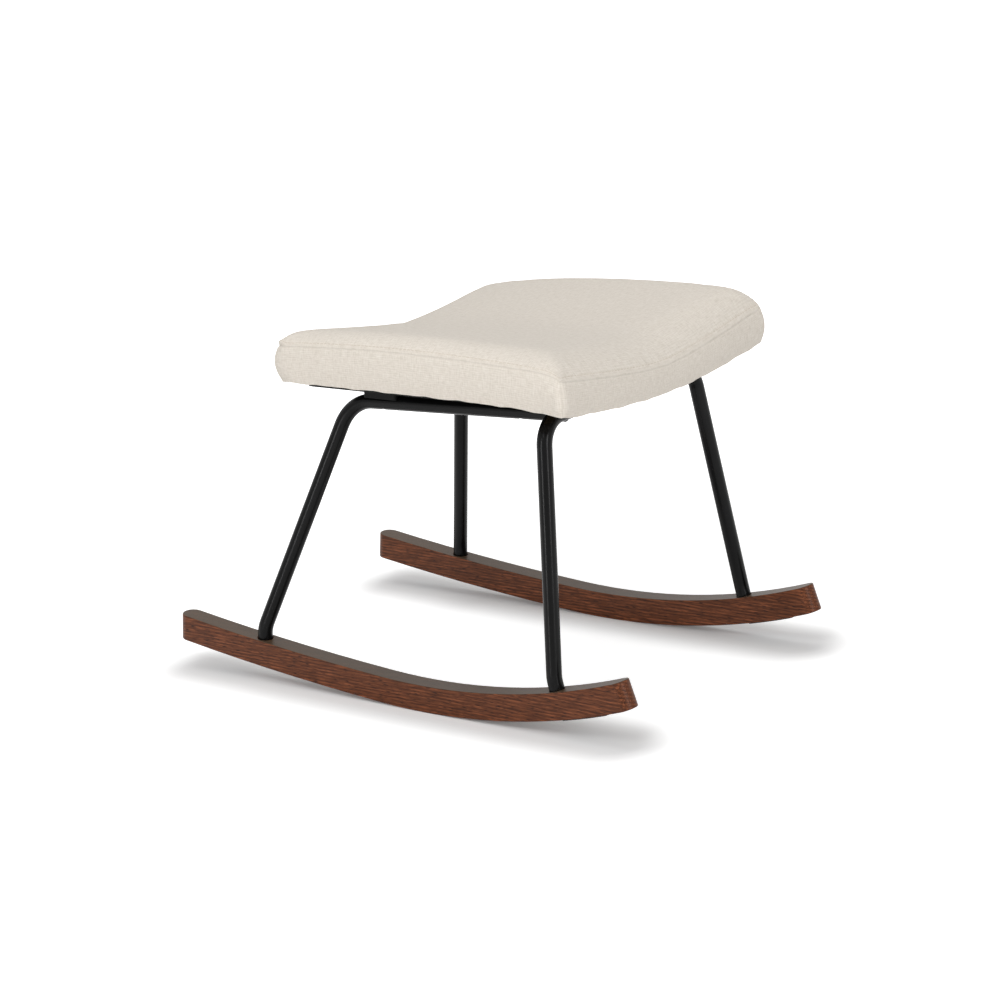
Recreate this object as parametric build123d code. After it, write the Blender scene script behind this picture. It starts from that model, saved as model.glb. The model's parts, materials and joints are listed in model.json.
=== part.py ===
from build123d import *
import os
from math import asin, cos, degrees, radians, sin, sqrt

# A rocking footstool, in millimetres. +Z is up, +Y runs along the rockers to the rear, and X runs across.
# It is drawn standing where it rests, with the rockers' lowest line at y = 0 and z = 0, and moved at the
# end so that the origin is the middle of its base.

# Tube frame
tube_diameter = 19.0
tube_wall = 1.5
foot_bend_radius = 45.0
hoop_bend_radius = 36.0
rail_bend_radius = 50.0
cope_gap = 0.1              # between a coped tube end and the tube it is welded to

# Rockers
rocker_spacing = 398.0      # between the two rockers' middle planes
rocker_thickness = 28.0
rocker_height = 34.5
front_arc_radius = 1000.0   # underside, from the front end to a little behind the lowest line
rear_arc_radius = 4700.0    # underside, from there to the rear end
arc_join = 69.0             # along the underside, behind the lowest line
front_reach = 320.0         # along the underside, from the lowest line to the front end
rear_reach = 417.0
end_flat = 0.2              # what is left flat between the two rounded corners of an end
rocker_edge = 1.2           # eased edges

# Feet in the rockers
front_foot = 209.0          # along the underside, from the lowest line
rear_foot = 274.5
foot_depth = 16.0           # how deep a tube end stands in its rocker
foot_clearance = 0.3        # round the tube, in its socket
socket_chamfer = 1.0
kink_height = 14.0          # from the rocker's top to the bend above it
bolt_diameter = 6.0
bolt_clearance = 0.3        # round a bolt
bolt_head_diameter = 10.0
bolt_head_height = 3.4
washer_diameter = 13.0
washer_thickness = 1.2
washer_clearance = 0.6
counterbore_depth = 8.0
plug_length = 14.0
plug_clearance = 0.1
rocker_bolt_grip = 9.0      # thread in the plug
hex_size = 4.0
hex_depth = 0.6             # of the head's height

# Stop pads under the rocker ends
pad_length = 70.0
pad_width = 20.0
pad_thickness = 1.5
pad_from_end = 38.0
pad_corner = 4.0

# Saddle of the seat: its board is a piece of a cylinder lying along Y
saddle_radius = 983.0       # the board's underside
board_thickness = 10.0
board_inset = 12.0          # from the cushion's side to the board's edge
front_board_corner = 6.0
rear_board_corner = 24.0
panel_thickness = 6.0
panel_from_side = 43.0      # from the cushion's side to the panel's edge, which clears the staples
panel_corner = 18.0
panel_from_rear = 10.0
panel_from_crossbar = 6.0

# Hoop and rails
crossbar_y = -175.0
crossbar_z = 369.5
hoop_half_width = 152.5     # where the leg's line meets the crossbar's line
crossbar_gap = 0.3          # crossbar to board
rail_x = 110.0
rail_corner_y = 163.0       # where the rear leg's line meets the rail's line
cross_rail_y = 66.0

# Bolts through the rails
front_bolt_y = -110.0
rear_bolt_y = 107.0
front_spacer = 3.0          # rail top to panel
rear_spacer = 9.8
spacer_length = 52.0
spacer_width = 20.0
spacer_corner = 3.0
saddle_drop = 3.5           # how far a spacer reaches down the tube's side
head_clearance = 0.6        # round a bolt's head, in the hole that lets it into the rail
seat_gap = 0.1              # between pieces that lie on each other
tee_flange_diameter = 18.0
tee_flange_thickness = 1.4
tee_barrel_diameter = 8.0
tee_recess = 2.6
tee_clearance = 0.3
screw_head_diameter = 7.0
screw_length = 11.0
screw_diameter = 3.5
screw_head_height = 2.2
screw_x = 128.0
screw_sunk = 0.3
screw_rows = 3
thread_gap = 0.05

# Cushion
cushion_half_width = 208.0
cushion_front_y = -248.0
cushion_rear_y = 202.0
rear_corner = 30.0          # roundness of the rear corners, seen from above
front_corner = 6.0
corner_seam_z = 434.0       # top of the band at the corners
side_seam_z = 449.0         # top of the band at the middle of a side
end_seam_low_z = 407.0      # top of the band at the middle of the front and of the rear
middle_top_z = 439.0        # bottom of the trough
shoulder_width = 26.0
shoulder_rise = 11.0        # the crown's height over the side's seam
shoulder_bulge = 3.2
band_bulge = 3.5
crown_run = 62.0            # how far in from an end the crown reaches its height
seam_run = 99.0             # how far in from an end the side's seam reaches its height
end_band_bulge = 0.6        # what is left of the bulges at the very ends
end_shoulder_bulge = 0.3
section_run = 130.0         # the stretch at each end where the cushion's sections lie close together
section_count = 7           # sections in that stretch
section_crowding = 2.3      # how quickly they close up towards the end
cover_thickness = 1.2
cover_gap = 0.3
hem_width = 42.0
hem_gap = 0.8               # hem to bands
staple_length = 10.0
staple_width = 1.2
staple_height = 0.6
staple_pitch = 44.0
staple_inset = 14.0         # from the hem's inner edge

# Cuts
past = 1.0                  # how far a cutting shape reaches past what it cuts
tall = 80.0                 # height of a cutting block: more than the saddle's rise from middle to side

tube_radius = tube_diameter / 2
saddle_low_z = crossbar_z + tube_radius + crossbar_gap
saddle_axis_z = saddle_low_z + saddle_radius
panel_top = cover_gap + cover_thickness + seat_gap      # below the board's underside: the hem is between
panel_bottom = panel_top + panel_thickness
panel_front_y = crossbar_y + tube_radius + panel_from_crossbar
panel_half_width = cushion_half_width - panel_from_side
hem_front_corner = front_corner + 2 * hem_gap           # rounder than the bands' corners, to clear them
hem_rear_corner = rear_corner + 4 * hem_gap


# ---------------------------------------------------------------- helpers

def under(s):
    """Point and slope angle of a rocker's underside, s along it from the lowest line, + to the rear."""
    if s <= arc_join:
        angle = s / front_arc_radius
        return front_arc_radius * sin(angle), front_arc_radius * (1 - cos(angle)), angle
    bend = arc_join / front_arc_radius
    angle = bend + (s - arc_join) / rear_arc_radius
    y = front_arc_radius * sin(bend) + rear_arc_radius * (sin(angle) - sin(bend))
    z = front_arc_radius * (1 - cos(bend)) + rear_arc_radius * (cos(bend) - cos(angle))
    return y, z, angle


def above(s, height):
    """Point at a height square to the underside."""
    y, z, angle = under(s)
    return y - sin(angle) * height, z + cos(angle) * height


def saddle_z(x, below=0.0):
    """Height of the board's underside, or of the surface that lies below it by a distance."""
    return saddle_axis_z - sqrt((saddle_radius + below) ** 2 - x ** 2)


def wall_of_arcs(half_width, top_below, bottom_below):
    """Face in the XZ plane between two cylinders of the saddle, cut off at a half width."""
    def point(x, below):
        return (x, 0, saddle_z(x, below))
    upper = ThreePointArc(point(-half_width, top_below), point(0, top_below), point(half_width, top_below))
    lower = ThreePointArc(point(half_width, bottom_below), point(0, bottom_below),
                          point(-half_width, bottom_below))
    edges = [upper, Line(upper @ 1, lower @ 0), lower, Line(lower @ 1, upper @ 0)]
    return make_face(Wire(edges))


def slab(half_width, top_below, bottom_below, front_y, rear_y, front_round, rear_round):
    """A board of the saddle with rounded corners seen from above."""
    middle_y = (front_y + rear_y) / 2
    wall = Pos(0, rear_y, 0) * extrude(wall_of_arcs(half_width + past, top_below, bottom_below),
                                       amount=rear_y - front_y, dir=(0, -1, 0))
    sheet = Pos(0, middle_y, saddle_low_z - board_thickness) * Rectangle(2 * half_width, rear_y - front_y)
    sheet = fillet(sheet.vertices().filter_by(lambda v: v.Y < middle_y), front_round)
    sheet = fillet(sheet.vertices().filter_by(lambda v: v.Y > middle_y), rear_round)
    return wall & extrude(sheet, amount=tall)


def rod(start, end, radius):
    """Round bar between two points."""
    axis = Vector(end) - Vector(start)
    return extrude(Plane(Vector(start), z_dir=axis) * Circle(radius), amount=axis.length)


def corner_arc(before, corner, after, radius):
    """Tangent points and middle of the arc that rounds a corner."""
    corner = Vector(corner)
    back = (Vector(before) - corner).normalized()
    ahead = (Vector(after) - corner).normalized()
    half = radians(back.get_angle(ahead)) / 2
    reach = radius / sin(half) * cos(half)
    centre = corner + (back + ahead).normalized() * (radius / sin(half))
    middle = centre + (corner - centre).normalized() * radius
    return corner + back * reach, middle, corner + ahead * reach


def tube_along(edges):
    """Tube whose axis is a chain of edges."""
    path = Wire(edges)
    start = Plane(path @ 0, z_dir=path % 0)
    outer = sweep(start * Circle(tube_radius), path=path)
    inner = sweep(start * Circle(tube_radius - tube_wall), path=path)
    return outer - inner


def mirrored(shape):
    """The same piece on the other side."""
    return mirror(shape, about=Plane.YZ)


# ---------------------------------------------------------------- rockers and feet

def foot_axis(s):
    """Socket of a foot on the left: a point on the rocker's top, the way up, and the bottom of the tube."""
    top_y, top_z = above(s, rocker_height)
    angle = under(s)[2]
    top = Vector(-rocker_spacing / 2, top_y, top_z)
    up = Vector(0, -sin(angle), cos(angle))
    return top, up, top - up * foot_depth


def stop_pad(s_from, s_to):
    """Thin pad under a rocker, between two places along its underside."""
    middle = (s_from + s_to) / 2
    outer = ThreePointArc(*[(0, *above(s, -pad_thickness)) for s in (s_from, middle, s_to)])
    inner = ThreePointArc(*[(0, *above(s, -seat_gap)) for s in (s_to, middle, s_from)])
    face = make_face(Wire([outer, Line(outer @ 1, inner @ 0), inner, Line(inner @ 1, outer @ 0)]))
    pad = extrude(face, amount=pad_width / 2, dir=(1, 0, 0), both=True)
    corners = pad.edges().filter_by(lambda e: e.length < 2 * pad_thickness)
    return Pos(-rocker_spacing / 2, 0, 0) * fillet(corners, pad_corner)


def rocker():
    """Left rocker with its sockets and bolt holes."""
    bottom_front = ThreePointArc(*[(0, *above(s, 0)) for s in (-front_reach, 0, arc_join)])
    rear_middle = (arc_join + rear_reach) / 2
    bottom_rear = ThreePointArc(*[(0, *above(s, 0)) for s in (arc_join, rear_middle, rear_reach)])
    top_rear = ThreePointArc(*[(0, *above(s, rocker_height)) for s in (rear_reach, rear_middle, arc_join)])
    top_front = ThreePointArc(*[(0, *above(s, rocker_height)) for s in (arc_join, 0, -front_reach)])
    outline = Wire([bottom_front, bottom_rear, Line(bottom_rear @ 1, top_rear @ 0), top_rear, top_front,
                    Line(top_front @ 1, bottom_front @ 0)])
    blank = extrude(make_face(outline), amount=rocker_thickness / 2, dir=(1, 0, 0), both=True)
    upright = blank.edges().filter_by(lambda e: abs(e.length - rocker_height) < 0.5
                                      and abs(e.center().X) > rocker_thickness / 4)
    blank = fillet(upright, (rocker_thickness - end_flat) / 2)
    blank = Pos(-rocker_spacing / 2, 0, 0) * ease(blank)
    for s in (-front_foot, rear_foot):
        blank = blank - foot_hole(s)
    return blank


def ease(blank):
    """Rounded long edges, along the top and the underside."""
    long_edges = blank.edges().filter_by(lambda e: abs(e.length - rocker_height) > 1.0
                                         and abs(e.tangent_at(0.5).Z) < 0.5)
    return fillet(long_edges, rocker_edge)


def foot_hole(s):
    """What is cut for one foot: the socket, its eased mouth, the bolt's hole and its counterbore."""
    top, up, bottom = foot_axis(s)
    under_point = top - up * rocker_height
    socket_radius = tube_radius + foot_clearance
    hole_radius = bolt_diameter / 2 + bolt_clearance
    bore_radius = washer_diameter / 2 + washer_clearance
    socket_floor = rocker_height - foot_depth
    profile = Polyline((0, -past), (bore_radius, -past), (bore_radius, counterbore_depth),
                       (hole_radius, counterbore_depth), (hole_radius, socket_floor),
                       (socket_radius, socket_floor), (socket_radius, rocker_height - socket_chamfer),
                       (socket_radius + 2 * socket_chamfer, rocker_height + socket_chamfer),
                       (0, rocker_height + socket_chamfer), close=True)
    half_section = Plane(under_point, x_dir=(1, 0, 0), z_dir=Vector(1, 0, 0).cross(up)) * make_face(profile)
    return revolve(half_section, axis=Axis(under_point, up))


def foot_hardware(s):
    """Threaded plug in a tube end, and the washer and bolt that hold it from below."""
    top, up, bottom = foot_axis(s)
    plug = rod(bottom, bottom + up * plug_length, tube_radius - tube_wall - plug_clearance)
    plug = plug - rod(bottom - up * past, bottom + up * (plug_length + past),
                      bolt_diameter / 2 + seat_gap / 2)
    floor = top - up * (rocker_height - counterbore_depth)
    washer = rod(floor - up * (washer_thickness + seat_gap), floor - up * seat_gap, washer_diameter / 2)
    washer = washer - rod(floor - up * 2 * washer_thickness, floor + up * past,
                          bolt_diameter / 2 + bolt_clearance)
    seat = floor - up * (washer_thickness + 2 * seat_gap)
    bolt = rod(seat - up * bolt_head_height, seat, bolt_head_diameter / 2)
    bolt = bolt + rod(seat - up * bolt_head_height, bottom + up * rocker_bolt_grip, bolt_diameter / 2)
    bolt = bolt - hex_recess(seat - up * bolt_head_height, up)
    return plug, washer, bolt


# ---------------------------------------------------------------- tube frame

def front_hoop():
    """Both front legs and the crossbar, in one bent tube."""
    top, up, bottom = foot_axis(-front_foot)
    kink = top + up * kink_height
    apex = Vector(-hoop_half_width, crossbar_y, crossbar_z)

    def other(point):
        return Vector(-point.X, point.Y, point.Z)
    low = corner_arc(bottom, kink, apex, foot_bend_radius)
    high = corner_arc(kink, apex, other(apex), hoop_bend_radius)
    low_right = [other(point) for point in reversed(low)]
    high_right = [other(point) for point in reversed(high)]
    return tube_along([Line(bottom, low[0]), ThreePointArc(*low),
                       Line(low[2], high[0]), ThreePointArc(*high),
                       Line(high[2], high_right[0]), ThreePointArc(*high_right),
                       Line(high_right[2], low_right[0]), ThreePointArc(*low_right),
                       Line(low_right[2], other(bottom))])


def rail_point(y):
    """Point of the left rail's axis, whose slope is set by the two spacers."""
    under = saddle_z(rail_x, panel_bottom) - tube_radius
    slope = (front_spacer - rear_spacer) / (rear_bolt_y - front_bolt_y)
    return Vector(-rail_x, y, under - front_spacer + slope * (y - front_bolt_y))


def rear_leg():
    """Left rear leg and side rail, coped against the crossbar and drilled for its two bolts."""
    top, up, bottom = foot_axis(rear_foot)
    kink = top + up * kink_height
    corner = rail_point(rail_corner_y)
    end = rail_point(crossbar_y)
    low = corner_arc(bottom, kink, corner, foot_bend_radius)
    high = corner_arc(kink, corner, end, rail_bend_radius)
    leg = tube_along([Line(bottom, low[0]), ThreePointArc(*low), Line(low[2], high[0]), ThreePointArc(*high),
                      Line(high[2], end)])
    leg = leg - rod((-hoop_half_width, crossbar_y, crossbar_z), (0, crossbar_y, crossbar_z),
                    tube_radius + cope_gap)
    for y in (front_bolt_y, rear_bolt_y):
        z = rail_point(y).Z
        leg = leg - bolt_hole(y, z, z + tube_diameter, bolt_diameter / 2 + bolt_clearance)
        leg = leg - bolt_hole(y, z - tube_diameter, z, bolt_head_diameter / 2 + head_clearance)
    return leg


def cross_rail():
    """Tube between the side rails, coped at both ends."""
    left = rail_point(cross_rail_y)
    right = Vector(-left.X, left.Y, left.Z)
    tube = rod(left, right, tube_radius) - rod(left, right, tube_radius - tube_wall)
    rail = rod(rail_point(cross_rail_y - tube_diameter), rail_point(cross_rail_y + tube_diameter),
               tube_radius + cope_gap)
    return tube - rail - mirrored(rail)


def bolt_hole(y, bottom_z, top_z, radius):
    """Upright round bar on the axis of a bolt through the left rail."""
    return rod((-rail_x, y, bottom_z), (-rail_x, y, top_z), radius)


def seat_hardware(y):
    """Spacer, bolt and tee nut of one left bolt, whose head lies inside the rail against its upper wall."""
    axis_z = rail_point(y).Z
    board_z = saddle_z(rail_x)
    spacer = spacer_block(y, axis_z + tube_radius - saddle_drop, board_z)
    spacer = spacer - bolt_hole(y, axis_z, board_z, bolt_diameter / 2 + bolt_clearance)

    flange_z = saddle_z(rail_x, -board_thickness) - tee_recess
    bolt_top = flange_z + tee_flange_thickness
    head_radius = bolt_head_diameter / 2
    head_top = axis_z + sqrt((tube_radius - tube_wall) ** 2 - head_radius ** 2) - seat_gap
    bolt = bolt_hole(y, head_top - bolt_head_height, bolt_top, bolt_diameter / 2)
    bolt = bolt + bolt_hole(y, head_top - bolt_head_height, head_top, head_radius)
    bolt = bolt - hex_recess(Vector(-rail_x, y, head_top - bolt_head_height), Vector(0, 0, 1))

    nut = bolt_hole(y, flange_z, bolt_top, tee_flange_diameter / 2)
    nut = nut + bolt_hole(y, board_z + tee_flange_thickness, bolt_top, tee_barrel_diameter / 2)
    nut = nut - bolt_hole(y, board_z, bolt_top + past, bolt_diameter / 2 + seat_gap / 2)
    return spacer, bolt, nut


def spacer_block(y, bottom_z, top_z):
    """Block that straddles the left rail and fills the space up to the panel."""
    plan = Pos(-rail_x, y, bottom_z) * Rectangle(spacer_width, spacer_length)
    block = extrude(fillet(plan.vertices(), spacer_corner), amount=top_z - bottom_z)
    rail_room = rod(rail_point(y - spacer_length), rail_point(y + spacer_length), tube_radius + seat_gap)
    panel_room = Pos(0, y + spacer_length, 0) * extrude(
        wall_of_arcs(panel_half_width, -board_thickness, panel_bottom + seat_gap),
        amount=2 * spacer_length, dir=(0, -1, 0))
    return block - rail_room - panel_room


def hex_recess(head, up):
    """Recess for a hexagon key in a bolt's head."""
    return extrude(Plane(head, z_dir=up) * RegularPolygon(hex_size / 2, 6, major_radius=False),
                   amount=bolt_head_height * hex_depth)


# ---------------------------------------------------------------- seat board and panel

def tee_pocket(y):
    """What the board loses for a tee nut."""
    top = saddle_z(rail_x, -board_thickness)
    flange = bolt_hole(y, top - tee_recess - seat_gap, top + tee_flange_diameter,
                       tee_flange_diameter / 2 + tee_clearance)
    barrel = bolt_hole(y, saddle_z(rail_x) - board_thickness, top, tee_barrel_diameter / 2 + tee_clearance)
    return flange + barrel


def seat_board():
    """Bent plywood board with its tee nut pockets and screw holes."""
    board = slab(cushion_half_width - board_inset, -board_thickness, 0, cushion_front_y + board_inset,
                 cushion_rear_y - board_inset, front_board_corner, rear_board_corner)
    for y in (front_bolt_y, rear_bolt_y):
        pocket = tee_pocket(y)
        board = board - pocket - mirrored(pocket)
    for x, y in screw_places():
        board = board - screw_hole(x, y)
    return board


def screw_places():
    """Places of the panel's screws, in a row along each side."""
    first = panel_front_y + panel_corner
    last = cushion_rear_y - panel_from_rear - panel_corner
    rows = [first + (last - first) * i / (screw_rows - 1) for i in range(screw_rows)]
    return [(side * screw_x, y) for side in (-1, 1) for y in rows]


def screw(x, y):
    """Countersunk screw from below, square to the panel and sunk a little into it."""
    return screw_shape(x, y, 0.0)


def screw_hole(x, y):
    """What a screw takes out of the boards, open below."""
    up = saddle_normal(x)
    head = screw_head(x, y)
    return screw_shape(x, y, thread_gap) + rod(head - up * screw_head_height, head,
                                               screw_head_diameter / 2 + thread_gap)


def saddle_normal(x):
    """The way up, square to the saddle."""
    return Vector(-x, 0, saddle_axis_z - saddle_z(x)).normalized()


def screw_head(x, y):
    """Middle of the screw head's outer face."""
    return Vector(x, y, saddle_z(x, panel_bottom)) + saddle_normal(x) * screw_sunk


def screw_shape(x, y, grow):
    """A screw, or the same shape grown for its hole."""
    up = saddle_normal(x)
    head = screw_head(x, y)
    cone = Plane(head, z_dir=up) * Cone(screw_head_diameter / 2 + grow, screw_diameter / 2 + grow,
                                        screw_head_height, align=(Align.CENTER, Align.CENTER, Align.MIN))
    return cone + rod(head, head + up * (screw_length + grow), screw_diameter / 2 + grow)


def base_panel():
    """Black board under the seat board, drilled for bolts and screws."""
    panel = slab(panel_half_width, panel_top, panel_bottom, panel_front_y, cushion_rear_y - panel_from_rear,
                 panel_corner, panel_corner)
    for y in (front_bolt_y, rear_bolt_y):
        hole = bolt_hole(y, rail_point(y).Z, saddle_z(rail_x), bolt_diameter / 2 + bolt_clearance)
        panel = panel - hole - mirrored(hole)
    for x, y in screw_places():
        panel = panel - screw_hole(x, y)
    return panel


# ---------------------------------------------------------------- cushion

def end_fade(y, run):
    """0 at the cushion's front and rear, 1 from a run inside them, on a quarter of an ellipse."""
    inside = min(y - cushion_front_y, cushion_rear_y - y)
    part = min(inside / run, 1.0)
    return sqrt(1 - (1 - part) ** 2)


def half_width(y):
    """Half width of the cushion seen from above, with its rounded corners."""
    front = max(front_corner - (y - cushion_front_y), 0)
    rear = max(rear_corner - (cushion_rear_y - y), 0)
    front_lost = front_corner - sqrt(front_corner ** 2 - front ** 2)
    rear_lost = rear_corner - sqrt(rear_corner ** 2 - rear ** 2)
    return cushion_half_width - front_lost - rear_lost


def section(y, inset):
    """Corner and middle points of the cushion's section at y, drawn in by an inset."""
    fade = end_fade(y, crown_run)
    wide = half_width(y) - inset
    seam = corner_seam_z + (side_seam_z - corner_seam_z) * end_fade(y, seam_run) - inset
    middle = end_seam_low_z + (middle_top_z - end_seam_low_z) * fade - inset
    shoulder = wide - shoulder_width
    flat_shoulder = middle + (seam - middle) * (shoulder / wide) ** 2
    shoulder_z = flat_shoulder + (seam + shoulder_rise - flat_shoulder) * fade
    low = saddle_z(wide, cover_thickness + cover_gap - inset)
    bulge = band_bulge * fade + end_band_bulge
    return {
        "low": (wide, low),
        "band": (wide + bulge, (low + seam) / 2),
        "seam": (wide, seam),
        "round": ((wide + shoulder) / 2 + shoulder_bulge * fade / 2,
                  (seam + shoulder_z) / 2 + shoulder_bulge * fade + end_shoulder_bulge),
        "shoulder": (shoulder, shoulder_z),
        "middle": (0, middle),
        "bottom": (0, saddle_z(0, cover_thickness + cover_gap - inset)),
    }


def at(point, y, side=1):
    """A section's point in space, on the right or, with side -1, on the left."""
    return (side * point[0], y, point[1])


def stations(front_y, rear_y):
    """Places of the cushion's sections, close together near its ends."""
    steps = [section_run * (i / section_count) ** section_crowding for i in range(section_count + 1)]
    front = [front_y + step for step in steps]
    rear = [rear_y - step for step in steps]
    return front + sorted(rear)


def outline_face(y, inset):
    """Whole section of the cushion."""
    p = section(y, inset)
    edges = [ThreePointArc(at(p["low"], y, -1), at(p["bottom"], y), at(p["low"], y)),
             ThreePointArc(at(p["low"], y), at(p["band"], y), at(p["seam"], y)),
             ThreePointArc(at(p["seam"], y), at(p["round"], y), at(p["shoulder"], y)),
             ThreePointArc(at(p["shoulder"], y), at(p["middle"], y), at(p["shoulder"], y, -1)),
             ThreePointArc(at(p["shoulder"], y, -1), at(p["round"], y, -1), at(p["seam"], y, -1)),
             ThreePointArc(at(p["seam"], y, -1), at(p["band"], y, -1), at(p["low"], y, -1))]
    return make_face(Wire(edges))


def top_strip(y):
    """Section of the cover's top panel."""
    o = section(y, 0.0)
    i = section(y, cover_thickness)
    edges = [ThreePointArc(at(o["seam"], y), at(o["round"], y), at(o["shoulder"], y)),
             ThreePointArc(at(o["shoulder"], y), at(o["middle"], y), at(o["shoulder"], y, -1)),
             ThreePointArc(at(o["shoulder"], y, -1), at(o["round"], y, -1), at(o["seam"], y, -1)),
             Line(at(o["seam"], y, -1), at(i["seam"], y, -1)),
             ThreePointArc(at(i["seam"], y, -1), at(i["round"], y, -1), at(i["shoulder"], y, -1)),
             ThreePointArc(at(i["shoulder"], y, -1), at(i["middle"], y), at(i["shoulder"], y)),
             ThreePointArc(at(i["shoulder"], y), at(i["round"], y), at(i["seam"], y)),
             Line(at(i["seam"], y), at(o["seam"], y))]
    return make_face(Wire(edges))


def band_strip(y):
    """Section of the left band."""
    o = section(y, 0.0)
    i = section(y, cover_thickness)
    edges = [ThreePointArc(at(o["low"], y, -1), at(o["band"], y, -1), at(o["seam"], y, -1)),
             Line(at(o["seam"], y, -1), at(i["seam"], y, -1)),
             ThreePointArc(at(i["seam"], y, -1), at(i["band"], y, -1), at(i["low"], y, -1)),
             Line(at(i["low"], y, -1), at(o["low"], y, -1))]
    return make_face(Wire(edges))


def end_band(y, outward):
    """Front or rear band: a plate over the cushion's end, a little drawn in from its edge."""
    face = outline_face(y, 0.0)
    return extrude(face, amount=cover_thickness, dir=(0, outward, 0))


def cushion_pieces():
    """Foam and the cover's five panels."""
    inner = cover_thickness + cover_gap
    places = stations(cushion_front_y, cushion_rear_y)
    foam = loft([outline_face(y, inner) for y in places], ruled=True)
    board_room = slab(cushion_half_width - board_inset + cover_gap, -board_thickness - cover_gap,
                      cover_thickness + 2 * cover_gap, cushion_front_y + board_inset - cover_gap,
                      cushion_rear_y - board_inset + cover_gap, front_board_corner, rear_board_corner)
    foam = foam - board_room
    top = loft([top_strip(y) for y in places], ruled=True)
    left = loft([band_strip(y) for y in places], ruled=True)
    front = Pos(0, -cover_gap, 0) * end_band(cushion_front_y, -1)
    rear = Pos(0, cover_gap, 0) * end_band(cushion_rear_y, 1)
    return foam, top, front, rear, left, mirrored(left)


def hem():
    """The cover turned under the board: strips along the sides, the front and the rear."""
    wide = cushion_half_width - cover_thickness - hem_gap
    whole = slab(wide, cover_gap, cover_gap + cover_thickness, cushion_front_y, cushion_rear_y,
                 hem_front_corner, hem_rear_corner)
    front_y = cushion_front_y + hem_width
    rear_y = cushion_rear_y - hem_width
    middle = Pos(0, (front_y + rear_y) / 2, saddle_low_z)
    inside = middle * Box(2 * (wide - hem_width), rear_y - front_y, tall)
    sheet = whole - inside
    for x, y in screw_places():
        sheet = sheet - screw_hole(x, y)
    return sheet


def staples():
    """Staples along the hem's sides and front. The panel clamps the hem's rear."""
    wide = cushion_half_width - hem_width + staple_inset
    front_y = cushion_front_y + hem_width - staple_inset
    rear_y = cushion_rear_y - hem_width
    pieces = []
    count = round((rear_y - front_y) / staple_pitch)
    for i in range(count + 1):
        y = front_y + (rear_y - front_y) * i / count
        pieces += [staple(-wide, y, True), staple(wide, y, True)]
    count = round(2 * wide / staple_pitch)
    for i in range(1, count):
        pieces.append(staple(-wide + 2 * wide * i / count, front_y, False))
    return pieces


def staple(x, y, along_y):
    """Crown of one staple, lying on the hem's underside."""
    tilt = degrees(asin(x / saddle_radius))
    z = saddle_z(x, cover_gap + cover_thickness + seat_gap)
    size = (staple_width, staple_length) if along_y else (staple_length, staple_width)
    bar = Box(size[0], size[1], staple_height, align=(Align.CENTER, Align.CENTER, Align.MAX))
    return Pos(x, y, z) * Rot(0, -tilt, 0) * bar


# ---------------------------------------------------------------- assembly

def build():
    """All pieces by node name, in the resting pose, with the lowest line at y = 0."""
    left = rocker()
    plugs, washers, bolts = [], [], []
    for s in (-front_foot, rear_foot):
        plug, washer, bolt = foot_hardware(s)
        plugs += [plug, mirrored(plug)]
        washers += [washer, mirrored(washer)]
        bolts += [bolt, mirrored(bolt)]
    pads = []
    for s_from, s_to in ((-front_reach + pad_from_end, -front_reach + pad_from_end + pad_length),
                         (rear_reach - pad_from_end - pad_length, rear_reach - pad_from_end)):
        pad = stop_pad(s_from, s_to)
        pads += [pad, mirrored(pad)]

    leg = rear_leg()
    front_block, front_bolt, front_nut = seat_hardware(front_bolt_y)
    rear_block, rear_bolt, rear_nut = seat_hardware(rear_bolt_y)
    foam, top, front, rear, band_left, band_right = cushion_pieces()

    def both(*shapes):
        return [shape for item in shapes for shape in (item, mirrored(item))]

    return {
        "left_rocker": [left],
        "right_rocker": [mirrored(left)],
        "front_hoop": [front_hoop()],
        "left_rear_leg": [leg],
        "right_rear_leg": [mirrored(leg)],
        "rear_cross_rail": [cross_rail()],
        "leg_plugs": plugs,
        "rocker_washers": washers,
        "rocker_bolts": bolts,
        "stop_pads": pads,
        "front_spacers": both(front_block),
        "rear_spacers": both(rear_block),
        "seat_bolts": both(front_bolt, rear_bolt),
        "tee_nuts": both(front_nut, rear_nut),
        "seat_board": [seat_board()],
        "base_panel": [base_panel()],
        "panel_screws": [screw(x, y) for x, y in screw_places()],
        "cover_hem": [hem()],
        "cover_staples": staples(),
        "cushion_foam": [foam],
        "cover_top": [top],
        "cover_front_band": [front],
        "cover_rear_band": [rear],
        "cover_left_band": [band_left],
        "cover_right_band": [band_right],
    }


pieces = build()
footprint = pieces["left_rocker"][0].bounding_box()
to_origin = Pos(0, -(footprint.min.Y + footprint.max.Y) / 2, -footprint.min.Z)
os.makedirs("parts", exist_ok=True)
for name, shapes in pieces.items():
    solids = [solid for shape in shapes for solid in (to_origin * shape).solids()]
    export_step(solids[0] if len(solids) == 1 else Compound(children=solids), f"parts/{name}.step")
print("lowest line at y =", round(-(footprint.min.Y + footprint.max.Y) / 2, 2))
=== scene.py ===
"""Looks of a rocking footstool, built around its packed construction model.

Units are metres. +Z is up, +Y runs along the rockers to the rear, +X across, and the origin is on the floor
under the middle of the stool. Sizes are written in millimetres times MM.
"""
import json
import logging
import math
from dataclasses import dataclass
from typing import Any, Sequence

import bmesh
import bpy
import numpy as np
from mathutils import Matrix, Vector
from mathutils.bvhtree import BVHTree

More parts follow.
